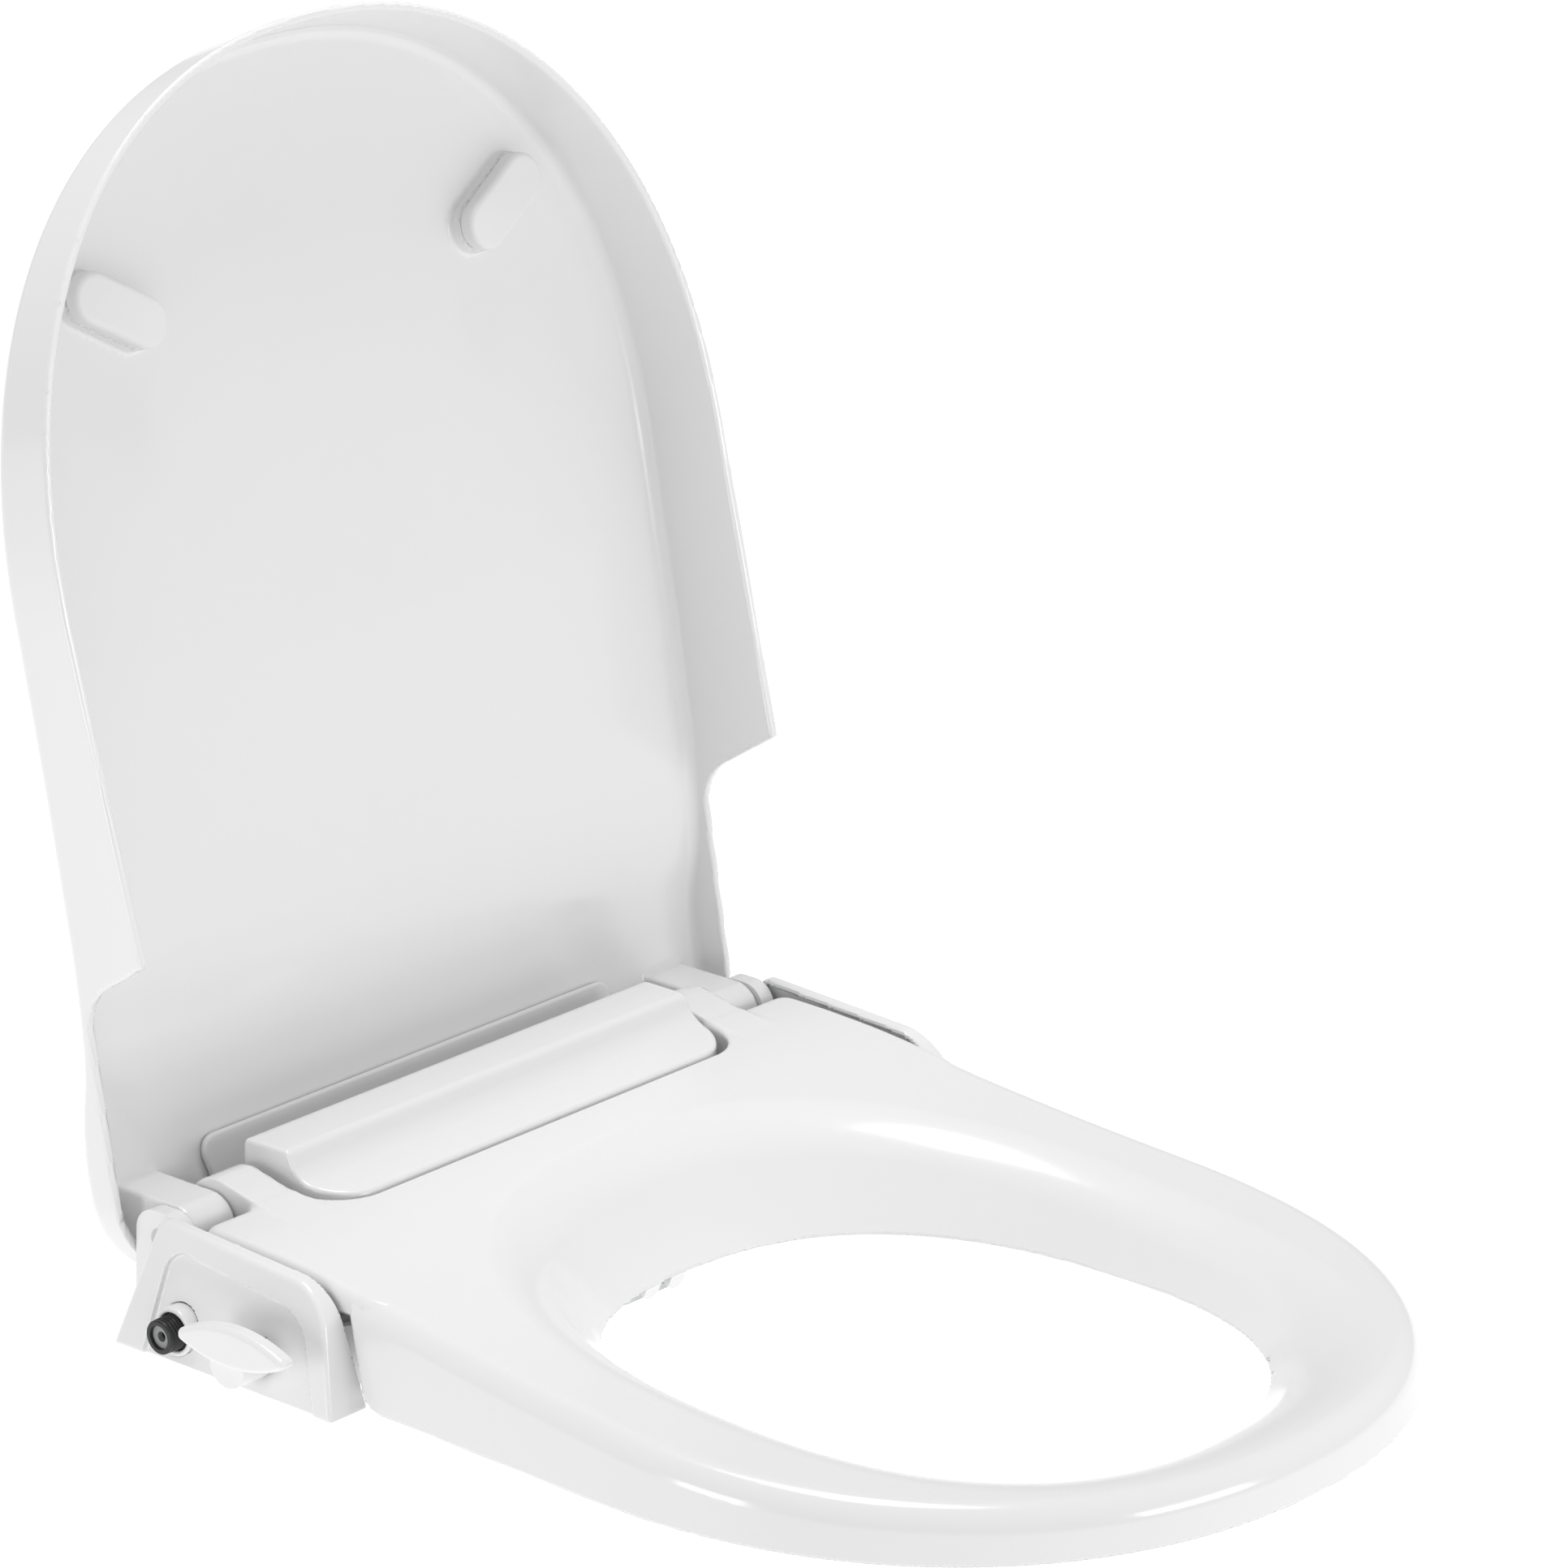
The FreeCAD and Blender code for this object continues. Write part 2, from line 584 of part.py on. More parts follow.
def make_left_side_cover():
    cover = side_cover()
    far = -SIDE_FOOT - 10
    stem = rod(6.0, V(far, VALVE_Y, VALVE_Z), V(-SIDE_IN, VALVE_Y, VALVE_Z))
    inlet = rod(FLANGE_R, V(far, INLET_Y, INLET_Z), V(-SIDE_IN, INLET_Y, INLET_Z))
    return cover.cut(stem).cut(inlet)


FACE_AT_INLET = -(SIDE_FOOT - 2.2 - (INLET_Z - SIDE_Z0) * SIDE_LEAN)
FACE_AT_VALVE = -(SIDE_FOOT - 2.2 - (VALVE_Z - SIDE_Z0) * SIDE_LEAN)
THREAD_END = -192.5
FLANGE_R = 9.8


def make_inlet_fitting():
    """A threaded spout with a collar; the thread is a row of round ridges."""
    c = (INLET_Y, INLET_Z)
    pitch = 1.5
    count = 6
    body = [rod(THREAD_R - 0.9, V(THREAD_END, *c), V(-160.2, *c))]
    lead = THREAD_END + 1.8
    body.append(rod(THREAD_R - 0.2, V(THREAD_END, *c), V(lead, *c)))
    for i in range(count):
        x = lead + 0.5 + i * pitch
        low = Part.makeCone(THREAD_R - 0.95, THREAD_R, pitch / 2, V(x, *c), X)
        high = Part.makeCone(THREAD_R, THREAD_R - 0.95, pitch / 2, V(x + pitch / 2, *c), X)
        body += [low, high]
    body.append(rod(THREAD_R + 0.6, V(FACE_AT_INLET - 0.8, *c), V(FACE_AT_INLET + 5, *c)))
    fitting = fuse(body)
    return fitting.cut(rod(4.7, V(THREAD_END - 1, *c), V(THREAD_END + 5.5, *c))).cut(
        rod(3.0, V(THREAD_END, *c), V(-160, *c)))


def make_inlet_flange():
    c = (INLET_Y, INLET_Z)
    return ring(FLANGE_R, THREAD_R + 0.7, V(FACE_AT_INLET - 3.4, *c), V(FACE_AT_INLET + 4, *c))


def make_inlet_washer():
    c = (INLET_Y, INLET_Z)
    return ring(4.65, 2.1, V(THREAD_END + 1.6, *c), V(THREAD_END + 4.0, *c))


def make_inlet_filter():
    c = (INLET_Y, INLET_Z)
    cup = rod(2.9, V(THREAD_END + 4.0, *c), V(THREAD_END + 13, *c))
    return cup.cut(rod(2.2, V(THREAD_END + 3, *c), V(THREAD_END + 12, *c)))


VALVE_X = (-167.6, -141.0)


def make_valve_body():
    x0, x1 = VALVE_X
    block = prism_x([(-86, TRAY_Z0 + 2, 2), (-86, 27, 3), (-50, 27, 2), (-48, 23, 2), (-14, 23, 3),
                     (-14, TRAY_Z0 + 2, 2)], x0, x1)
    spindle_bore = rod(7.4, V(x0 - 1, VALVE_Y, VALVE_Z), V(-146, VALVE_Y, VALVE_Z))
    inlet_bore = rod(THREAD_R - 0.9, V(x0 - 1, INLET_Y, INLET_Z), V(-160, INLET_Y, INLET_Z))
    passage = rod(2.5, V(-158, INLET_Y - 3, INLET_Z), V(-158, VALVE_Y + 4, INLET_Z))
    link = rod(2.5, V(-162, INLET_Y, INLET_Z), V(-156, INLET_Y, INLET_Z))
    outlets = [ring(3.4, 2.0, V(x1, y, 17), V(x1 + 9, y, 17)) for y in HOSE_YS]
    ports = [rod(2.0, V(-148, y, 17), V(x1 + 1, y, 17)) for y in HOSE_YS]
    valve = block.cut(spindle_bore).cut(inlet_bore).cut(passage).cut(link)
    for port in ports:
        valve = valve.cut(port)
    return fuse([valve] + outlets)


HOSE_YS = (-62.0, -74.0)


def make_valve_seal():
    start = V(-165.5, VALVE_Y, VALVE_Z)
    end = V(-163.3, VALVE_Y, VALVE_Z)
    return ring(7.35, 4.1, start, end)


def make_valve_spindle():
    c = (VALVE_Y, VALVE_Z)
    parts = [rod(4.05, V(FACE_AT_VALVE - 9, *c), V(-160, *c)), rod(7.3, V(-162.9, *c), V(-147, *c))]
    port = rod(2.0, V(-152, VALVE_Y - 9, VALVE_Z), V(-152, VALVE_Y + 9, VALVE_Z))
    return fuse(parts).cut(port)


LEVER_X = (-206.5, -199.0)
LEVER_HUB_R = 9.0
HUB_END = -184.4


def make_lever():
    """A leaf-shaped grip on a round hub; it points to the front at rest."""
    x0, x1 = LEVER_X

    def at(y, z):
        return V(x0, VALVE_Y + y, VALVE_Z + z)

    top = Part.Arc(at(24, 11.5), at(5, 20.5), at(-36, 14.5)).toShape()
    tip = Part.makeLine(at(-36, 14.5), at(-36, 11))
    low = Part.Arc(at(-36, 11), at(-14, 3), at(24, 7)).toShape()
    heel = Part.makeLine(at(24, 7), at(24, 11.5))
    leaf = Part.Face(Part.Wire([top, tip, low, heel])).extrude(V(x1 - x0, 0, 0))
    outer = [e for e in leaf.Edges if e.BoundBox.XMax < x0 + 0.01]
    leaf = leaf.makeFillet(1.4, outer)
    hub = rod(LEVER_HUB_R, V(x1 - 1, VALVE_Y, VALVE_Z), V(HUB_END, VALVE_Y, VALVE_Z))
    return fuse([leaf, hub]).cut(rod(4.1, V(FACE_AT_VALVE - 9, VALVE_Y, VALVE_Z), V(-160, VALVE_Y, VALVE_Z)))


def hinge_pin(sign):
    return rod(PIN_R, V(sign * (INNER_BOSS[0] + 6), 0, HINGE_Z), V(sign * CHEEK_X[1], 0, HINGE_Z))


def hinge_damper(sign):
    """A soft-close cartridge inside the base, in line with the hinge pin."""
    return rod(7.5, V(sign * 62, 0, HINGE_Z), V(sign * (INNER_BOSS[0] + 6), 0, HINGE_Z))


def nozzle_back(side):
    return NOZZLE_TIP + V(side * NOZZLE_X, 0, 0) + nozzle_axis() * (HOUSING_START + HOUSING_LEN + 2.5)


def make_hose(side, y_valve):
    """A round feed tube inside the base from a valve outlet to a nozzle port."""
    start = V(VALVE_X[1] + 9, y_valve, 17)
    back = nozzle_back(side)
    level = 17.0
    x_turn = -42.0 if side < 0 else -51.0
    far = -12.0 if side < 0 else -4.0
    path = [start, V(x_turn, y_valve, level), V(x_turn, -34, level), V(x_turn, far, back.z + 6),
            V(back.x, far + 4, back.z + 8), back + nozzle_axis() * 0.2]
    return tube_along(path, 2.8, 8.0)


def tube_along(points, radius, bend):
    """A tube through points, with each corner rounded by an arc."""
    edges = []
    last = points[0]
    for i in range(1, len(points) - 1):
        p = points[i]
        to_a = (points[i - 1] - p)
        to_b = (points[i + 1] - p)
        room = min(to_a.Length, to_b.Length) * 0.45
        to_a.normalize()
        to_b.normalize()
        half = to_a.getAngle(to_b) / 2
        r = min(bend, room * math.tan(half))
        reach = r / math.tan(half)
        start = p + to_a * reach
        end = p + to_b * reach
        middle = p + (to_a + to_b).normalize() * (r / math.sin(half) - r)
        edges.append(Part.makeLine(last, start))
        edges.append(Part.Arc(start, middle, end).toShape())
        last = end
    edges.append(Part.makeLine(last, points[-1]))
    profile = Part.Wire(Part.makeCircle(radius, points[0], points[1] - points[0]))
    return Part.Wire(edges).makePipeShell([profile], True, False)


def make_mounting_plate():
    """The plate bolted to the bowl, with slots for the bolts; the base slides onto it."""
    plate = prism_z([(-100, -24, 8), (100, -24, 8), (100, 14, 8), (-100, 14, 8)], 0, PLATE_TOP)
    for sign in (-1, 1):
        slot = stadium_z(14, 2 * BOLT_R + 1, -1, PLATE_TOP + 1)
        slot.translate(V(sign * BOLT_SPACING / 2, 0, 0))
        plate = plate.cut(slot)
    return plate


def make_bolt():
    x = BOLT_SPACING / 2
    shank = rod(BOLT_R, V(x, 0, -52), V(x, 0, PLATE_TOP))
    return fuse([shank, rod(BOLT_HEAD_R, V(x, 0, PLATE_TOP), V(x, 0, PLATE_TOP + 2.2))])


def make_bolt_washer():
    x = BOLT_SPACING / 2
    cone = Part.makeCone(11, 8, 12, V(x, 0, -30), Z)
    return cone.cut(rod(BOLT_R + 0.05, V(x, 0, -31), V(x, 0, -10)))


def make_bolt_nut():
    x = BOLT_SPACING / 2
    wings = box(x - 16, x + 16, -2, 2, -44, -30)
    body = rod(9, V(x, 0, -44), V(x, 0, -30))
    return fuse([body, wings]).cut(rod(BOLT_R + 0.05, V(x, 0, -50), V(x, 0, -20)))


def make_base_screws():
    screws = []
    for x, y in SCREW_PLACES:
        head = rod(3.0, V(x, y, TRAY_Z0 + 0.1), V(x, y, 4.6))
        screws.append(fuse([rod(1.4, V(x, y, 4.6), V(x, y, 21)), head]))
    return Part.makeCompound(screws)


def make_base_foot(x):
    pad = box(x - 14, x + 14, TRAY_FRONT + 2, TRAY_FRONT + 14, 0, TRAY_Z0)
    upright = [e for e in pad.Edges if e.BoundBox.ZLength > 1]
    return pad.makeFillet(4.0, upright)


def build():
    nodes = {
        "base_housing": make_base_housing(),
        "rear_cover": make_rear_cover(),
        "left_side_cover": make_left_side_cover(),
        "right_side_cover": make_right_side_cover(),
        "mounting_plate": make_mounting_plate(),
        "mounting_bolts": both_apart(make_bolt()),
        "bolt_washers": both_apart(make_bolt_washer()),
        "bolt_nuts": both_apart(make_bolt_nut()),
        "base_screws": make_base_screws(),
        "base_foot_left": make_base_foot(-120),
        "base_foot_right": make_base_foot(120),
        "hinge_pin_left": hinge_pin(-1),
        "hinge_pin_right": hinge_pin(1),
        "seat_damper": hinge_damper(-1),
        "lid_damper": hinge_damper(1),
        "inlet_fitting": make_inlet_fitting(),
        "inlet_flange": make_inlet_flange(),
        "inlet_washer": make_inlet_washer(),
        "inlet_filter": make_inlet_filter(),
        "valve_body": make_valve_body(),
        "valve_seal": make_valve_seal(),
        "valve_spindle": make_valve_spindle(),
        "lever_handle": make_lever(),
        "nozzle_housing": make_nozzle_housing(),
        "nozzle_rear_wash": make_nozzle(-1),
        "nozzle_front_wash": make_nozzle(1),
        "feed_hose_rear": make_hose(-1, HOSE_YS[1]),
        "feed_hose_front": make_hose(1, HOSE_YS[0]),
        "seat_top": make_seat_top(),
        "seat_underside": make_seat_underside(),
        "lid_shell": make_lid(),
        "lid_stiffener": make_lid_plate(),
        "lid_bumper_left": mirrored(make_lid_bumper()),
        "lid_bumper_right": make_lid_bumper(),
    }
    for name, place in BUMPER_PLACES.items():
        nodes[name] = make_seat_bumper(*place)
    return nodes


def main():
    os.makedirs("parts", exist_ok=True)
    for name, shape in build().items():
        shape.exportStep(f"parts/{name}.step")


main()
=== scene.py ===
import json
import math

import bpy
import numpy as np
from mathutils import Matrix, Vector


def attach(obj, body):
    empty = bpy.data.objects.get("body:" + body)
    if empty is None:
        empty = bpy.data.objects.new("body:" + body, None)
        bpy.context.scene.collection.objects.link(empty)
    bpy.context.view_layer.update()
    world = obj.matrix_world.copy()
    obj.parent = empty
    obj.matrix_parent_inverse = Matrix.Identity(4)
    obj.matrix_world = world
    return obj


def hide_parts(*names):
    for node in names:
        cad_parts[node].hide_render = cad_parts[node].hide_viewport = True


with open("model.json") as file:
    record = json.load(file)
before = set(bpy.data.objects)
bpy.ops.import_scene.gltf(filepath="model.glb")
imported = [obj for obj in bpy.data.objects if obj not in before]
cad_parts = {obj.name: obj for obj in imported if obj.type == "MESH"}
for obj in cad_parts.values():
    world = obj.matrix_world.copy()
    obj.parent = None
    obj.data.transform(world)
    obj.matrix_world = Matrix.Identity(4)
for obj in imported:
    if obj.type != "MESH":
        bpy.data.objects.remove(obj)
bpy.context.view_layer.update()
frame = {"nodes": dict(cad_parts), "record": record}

MM = 0.001

# Lengths are in millimetres until a mesh is made. Each visible moulding is a distance field: negative inside,
# zero on the surface, so every edge can carry the small radius that the moulding has.
HINGE_Z = 39.0                     # the hinge axis runs along x at y 0
TILT = math.radians(90 - 13.6)     # turns the lid's own frame to its open place: x, b up the lid, c to the seat
WALL = 3.4                         # of the seat and the lid
COVER_WALL = 2.6
SEAT_CELL = 1.6                    # grid steps that the two large mouldings are meshed with
LID_CELL = 1.6
HEIGHT_SHARE = 0.995               # turns the height over a gently sloping top into a distance


# --- fields ------------------------------------------------------------------------------------
def both_in(a, b, r=0.0):
    """Where two fields overlap, with the shared edge rounded to radius r."""
    if np.isscalar(r) and r == 0:
        return np.maximum(a, b)
    return np.minimum(-r, np.maximum(a, b)) + np.hypot(np.maximum(a + r, 0), np.maximum(b + r, 0))


def either(a, b, r=0.0):
    """Two fields joined, with a fillet of radius r between them."""
    return -both_in(-a, -b, r)


def without(a, b, r=0.0):
    return both_in(a, -b, r)


def shell(d, wall):
    return np.abs(d + wall / 2) - wall / 2


def right_of(p, q, a, b):
    """A half-plane in (a, b): negative on the right of the way from p to q."""
    da, db = q[0] - p[0], q[1] - p[1]
    return ((b - p[1]) * da - (a - p[0]) * db) / math.hypot(da, db)


def slab(v, low, high):
    return np.abs(v - (low + high) / 2) - (high - low) / 2


def step(v, low, high):
    t = np.clip((v - low) / (high - low), 0, 1)
    return t * t * (3 - 2 * t)


def curve(points):
    """A smooth function through (at, value) points."""
    xs, ys = np.array(points, float).T
    slope = np.gradient(ys, xs)

    def value(x):
        i = np.clip(np.searchsorted(xs, x) - 1, 0, len(xs) - 2)
        h = xs[i + 1] - xs[i]
        t = (x - xs[i]) / h
        a = ys[i] * (1 + 2 * t) + slope[i] * h * t
        b = ys[i + 1] * (3 - 2 * t) + slope[i + 1] * h * (t - 1)
        return a * (1 - t) ** 2 + b * t * t
    return value


def superellipse(x, y, half, reach, power):
    """About the distance outside a superellipse centred on the origin."""
    u = np.maximum(np.abs(x) / half, 1e-6)
    v = np.maximum(np.abs(y) / reach, 1e-6)
    s = u ** power + v ** power
    size = s ** (1 / power)
    rate = s ** (1 / power - 1) * np.hypot(u ** (power - 1) / half, v ** (power - 1) / reach)
    return (size - 1) / rate


def d_outline(x, b, side, middle, half, tip, base, corner, power):
    """A D: straight sides, a round front from middle to tip and a base with round corners."""
    back = both_in(np.abs(x) - side, base - b, corner)
    front = superellipse(x, np.maximum(b - middle, 0), half, tip - middle, power)
    return np.where(b > middle, front, back)


# --- meshing -----------------------------------------------------------------------------------
def slope_of(field, p, h=0.03):
    """The field and its gradient at points p."""
    at = field(*p.T)
    grad = np.empty_like(p)
    for i in range(3):
        q = p.copy()
        q[:, i] += h
        grad[:, i] = (field(*q.T) - at) / h
    return at, grad


def net(field, low, high, size):
    """Points and quads of the surface where the field is zero, inside a box."""
    low = np.array(low, float)
    count = np.ceil((np.array(high) - low) / size).astype(int) + 1
    axes = [low[i] + size * np.arange(count[i]) for i in range(3)]
    values = np.broadcast_to(field(*np.meshgrid(*axes, indexing="ij", sparse=True)), count)
    inside = values < 0
    cells = []
    places = []
    for a in range(3):
        b, c = (a + 1) % 3, (a + 2) % 3
        lo = tuple(slice(0, -1) if i == a else slice(None) for i in range(3))
        hi = tuple(slice(1, None) if i == a else slice(None) for i in range(3))
        found = np.argwhere(inside[lo] != inside[hi])
        first = values[lo][tuple(found.T)]
        last = values[hi][tuple(found.T)]
        place = found.astype(float)
        place[:, a] += first / (first - last)
        around = []
        for ob, oc in ((-1, -1), (0, -1), (0, 0), (-1, 0)):
            cell = found.copy()
            cell[:, b] += ob
            cell[:, c] += oc
            around.append(np.ravel_multi_index(tuple(cell.T), count))
        around = np.stack(around, 1)
        outward = first < 0
        around[~outward] = around[~outward][:, ::-1]
        cells.append(around)
        places.append(np.repeat(place[:, None, :], 4, 1))
    cells = np.concatenate(cells)
    places = np.concatenate(places).reshape(-1, 3)
    _, index = np.unique(cells, return_inverse=True)
    index = index.reshape(-1)
    share = np.bincount(index)
    points = np.stack([np.bincount(index, places[:, i]) / share for i in range(3)], 1)
    return low + points * size, index.reshape(-1, 4)


def unit(v):
    return v / np.maximum(np.linalg.norm(v, axis=1), 1e-9)[:, None]


def settle(field, points, quads, size, rounds=3):
    """Evens the points out and puts each one on the surface. Gives the surface's normals too."""
    starts = quads.reshape(-1)
    ends = np.roll(quads, -1, 1).reshape(-1)
    degree = np.bincount(starts, minlength=len(points))[:, None]
    for i in range(rounds + 2):
        if i < rounds:
            total = np.stack([np.bincount(starts, points[ends, k], len(points)) for k in range(3)], 1)
            points = 0.5 * points + 0.5 * total / degree
        at, grad = slope_of(field, points)
        size2 = np.maximum((grad ** 2).sum(1), 0.05)
        move = -(at / size2)[:, None] * grad
        length = np.maximum(np.linalg.norm(move, axis=1), 1e-9)
        points = points + move * np.minimum(1, 0.6 * size / length)[:, None]
    _, grad = slope_of(field, points, 0.25)
    normals = unit(grad)
    a, b, c, d = (points[quads[:, k]] for k in range(4))
    facing = unit(np.cross(c - a, d - b))
    around = [np.bincount(starts, np.repeat(facing[:, k], 4), len(points)) for k in range(3)]
    faced = unit(np.stack(around, 1))
    astray = (normals * faced).sum(1) < 0.6
    normals[astray] = faced[astray]
    return points, normals


def from_hinge(b, c):
    """How far back and up from the hinge axis a place on the open lid is."""
    return b * math.cos(TILT) - c * math.sin(TILT), b * math.sin(TILT) + c * math.cos(TILT)


def turn_lid(p):
    """From the lid's own frame to the open lid's directions."""
    x, b, c = p.T
    return np.stack([x, *from_hinge(b, c)], 1)


def place_lid(p):
    """From the lid's own frame to the open lid's place."""
    return turn_lid(p) + [0, 0, HINGE_Z]


def moulding(name, field, low, high, size, material, body, slot, nodes, lid=False, mirror=False):
    """A piece of the object made from a field, standing for the CAD nodes named."""
    points, quads = net(field, low, high, size)
    points, normals = settle(field, points, quads, size)
    if lid:
        points, normals = place_lid(points), turn_lid(normals)
    if mirror:
        points, normals = points * [-1, 1, 1], normals * [-1, 1, 1]
        quads = quads[:, ::-1]
    mesh = bpy.data.meshes.new(name)
    mesh.from_pydata((points * MM).tolist(), [], quads.tolist())
    mesh.polygons.foreach_set("use_smooth", [True] * len(mesh.polygons))
    mesh.normals_split_custom_set_from_vertices(normals.tolist())
    mesh.materials.append(material)
    piece = bpy.data.objects.new(name, mesh)
    bpy.context.scene.collection.objects.link(piece)
    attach(piece, body)
    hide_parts(*nodes)


# --- materials ---------------------------------------------------------------------------------
TONE_SPREAD = 0.015
GLOSS_SPREAD = 0.12
DRIFT_SCALE = 6.0
GRAIN_DEPTH = 0.0002
COAT_ROUGHNESS = 0.06


def plastic(name, colour, rough, grain=0.0, grain_size=0.0006, coat=0.0, metal=0.0):
    """Moulded plastic: a slight drift in tone, a slow ripple in the gloss and a fine grain."""
    material = bpy.data.materials.new(name)
    material.use_nodes = True
    nodes, links = material.node_tree.nodes, material.node_tree.links
    shader = nodes["Principled BSDF"]
    shader.inputs["Metallic"].default_value = metal
    shader.inputs["Coat Weight"].default_value = coat
    shader.inputs["Coat Roughness"].default_value = COAT_ROUGHNESS
    place = nodes.new("ShaderNodeTexCoord")
    drift = nodes.new("ShaderNodeTexNoise")
    drift.inputs["Scale"].default_value = DRIFT_SCALE
    drift.inputs["Detail"].default_value = 2.0
    links.new(place.outputs["Object"], drift.inputs["Vector"])
    tone = nodes.new("ShaderNodeMix")
    tone.data_type = "RGBA"
    tone.inputs["A"].default_value = (*[c * (1 - TONE_SPREAD) for c in colour], 1)
    tone.inputs["B"].default_value = (*[min(1, c * (1 + TONE_SPREAD)) for c in colour], 1)
    links.new(drift.outputs["Fac"], tone.inputs["Factor"])
    links.new(tone.outputs["Result"], shader.inputs["Base Color"])
    gloss = nodes.new("ShaderNodeMapRange")
    gloss.inputs["To Min"].default_value = rough * (1 - GLOSS_SPREAD)
    gloss.inputs["To Max"].default_value = rough * (1 + GLOSS_SPREAD)
    links.new(drift.outputs["Fac"], gloss.inputs["Value"])
    links.new(gloss.outputs["Result"], shader.inputs["Roughness"])
    if grain:
        fine = nodes.new("ShaderNodeTexNoise")
        fine.inputs["Scale"].default_value = 1 / grain_size
        fine.inputs["Detail"].default_value = 1.0
        links.new(place.outputs["Object"], fine.inputs["Vector"])
        bump = nodes.new("ShaderNodeBump")
        bump.inputs["Strength"].default_value = grain
        bump.inputs["Distance"].default_value = GRAIN_DEPTH
        links.new(fine.outputs["Fac"], bump.inputs["Height"])
        links.new(bump.outputs["Normal"], shader.inputs["Normal"])
    return material


WHITE = plastic("white_gloss", (0.80, 0.80, 0.80), 0.2, grain=0.05, grain_size=0.0025, coat=0.3)
SEAT_WHITE = plastic("seat_gloss", (0.80, 0.80, 0.80), 0.18, grain=0.04, grain_size=0.0025, coat=0.35)
SOFT_WHITE = plastic("soft_white", (0.78, 0.78, 0.78), 0.45, grain=0.1, grain_size=0.0008)
BLACK = plastic("black_nylon", (0.012, 0.012, 0.013), 0.38, grain=0.15, grain_size=0.0005)
GREY_RUBBER = plastic("grey_rubber", (0.30, 0.305, 0.31), 0.6, grain=0.2, grain_size=0.0004)
BLACK_RUBBER = plastic("black_rubber", (0.02, 0.02, 0.02), 0.65, grain=0.25, grain_size=0.0005)
PALE = plastic("pale_grey", (0.55, 0.56, 0.57), 0.4, grain=0.1)
DARK = plastic("dark_plastic", (0.03, 0.03, 0.033), 0.45, grain=0.15)
HOSE = plastic("hose_plastic", (0.62, 0.65, 0.67), 0.3, grain=0.05)
STEEL = plastic("steel", (0.55, 0.55, 0.56), 0.3, grain=0.1, metal=1.0)

SLOT_MATERIAL = {
    "white_base": WHITE, "white_cover": WHITE, "grey_plate": PALE, "white_bolt": SOFT_WHITE,
    "black_rubber": BLACK_RUBBER, "steel": STEEL, "grey_pin": PALE, "dark_damper": DARK,
    "black_fitting": BLACK, "pale_flange": WHITE, "grey_rubber": GREY_RUBBER, "grey_valve": PALE,
    "white_lever": WHITE, "white_nozzle": WHITE, "clear_hose": HOSE, "white_seat": SEAT_WHITE,
    "white_lid": WHITE, "white_bumper": SOFT_WHITE,
}


def finish_cad_nodes():
    """A carried-over node gets its slot's material and smooth faces between its sharp edges."""
    slots = {row["node"]: row["material_slot"] for row in frame["record"]["subparts"]}
    for name, node in frame["nodes"].items():
        node.data.materials.clear()
        node.data.materials.append(SLOT_MATERIAL[slots[name]])
        node.data.set_sharp_from_angle(angle=math.radians(30))


# --- seat --------------------------------------------------------------------------------------
SEAT_TOP = curve([(-450, 22.8), (-395, 23.8), (-330, 25.6), (-270, 28.6), (-225, 32.0), (-180, 35.8),
                  (-140, 40.0), (-105, 44.2), (-75, 47.4), (-48, 48.8), (-16, 49.2), (40, 49.4)])
SEAT_UNDER = 3.4         # the ring's bottom edge
DECK_UNDER = 35.0        # the rear deck's lower edge
CREASE = 12.0            # how softly the seat's top turns into the dish
BOWL_LOW, BOWL_HIGH = 4, 46
BOWL_HALF = (107, 139)   # the opening's half width and its rear, widest place and front at those heights
BOWL_REAR = (-115, -85)
BOWL_MIDDLE = (-248, -262)
BOWL_FRONT = (-370, -426)
BOWL_POWER = 2.4
RING_HALF, RING_REAR_HALF = 177, 173.5
RING_TAPER, RING_MIDDLE, RING_TIP = 128, 240, 427
RING_POWER = 2.15
DRAFT = 0.16             # how far the ring's and the lid's sides lean in for each mm of height
RING_END_HIGH, RING_END_LOW = (-100.3, 37), (-112.6, SEAT_UNDER)
RING_EDGE = 9
DECK_HALF, DECK_TUCK, DECK_STEP = 166, 6, (106, 130)
DECK_TIP, DECK_BACK, DECK_CORNER, DECK_EDGE = 410, 19, 8, 5
CUT_HALF, CUT_FRONT, CUT_CORNER = 117, -45.4, 22     # around the rear cover
GATE_HALF, GATE_TOP, GATE_FRONT = 26, 20, -118       # where the nozzles pass
CURTAIN_FRONT = -125     # the wall behind the opening reaches forward to here
KNUCKLE_X = (118.0, 137.6)
KNUCKLE_RADIUS = 16
ARM_FRONT, ARM_HIGH, ARM_LOW = -50, HINGE_Z + 5.5, 31
TANGENT = (-2.3, 15.83)  # where the arm's faces meet the knuckle, from the hinge axis
PIN_HOLE = 5.06


def bowl(x, y, z):
    """Negative inside the dished opening."""
    rise = np.maximum((z - BOWL_LOW) / (BOWL_HIGH - BOWL_LOW), 0)
    half, rear, middle, front = (at[0] + (at[1] - at[0]) * rise
                                 for at in (BOWL_HALF, BOWL_REAR, BOWL_MIDDLE, BOWL_FRONT))
    behind = superellipse(x, y - middle, half, rear - middle, BOWL_POWER)
    ahead = superellipse(x, y - middle, half, middle - front, BOWL_POWER)
    lean = 0.75 + 0.6 * np.clip((middle - y) / 120, 0, 1) ** 2      # the wall leans most at the front
    return np.where(y > middle, behind, ahead) / np.where(z > BOWL_LOW, np.hypot(1, lean), 1.0)


def ring_end(y, z):
    """The ring's rear end leans back along the front of the side covers."""
    return right_of(RING_END_HIGH, RING_END_LOW, y, z)


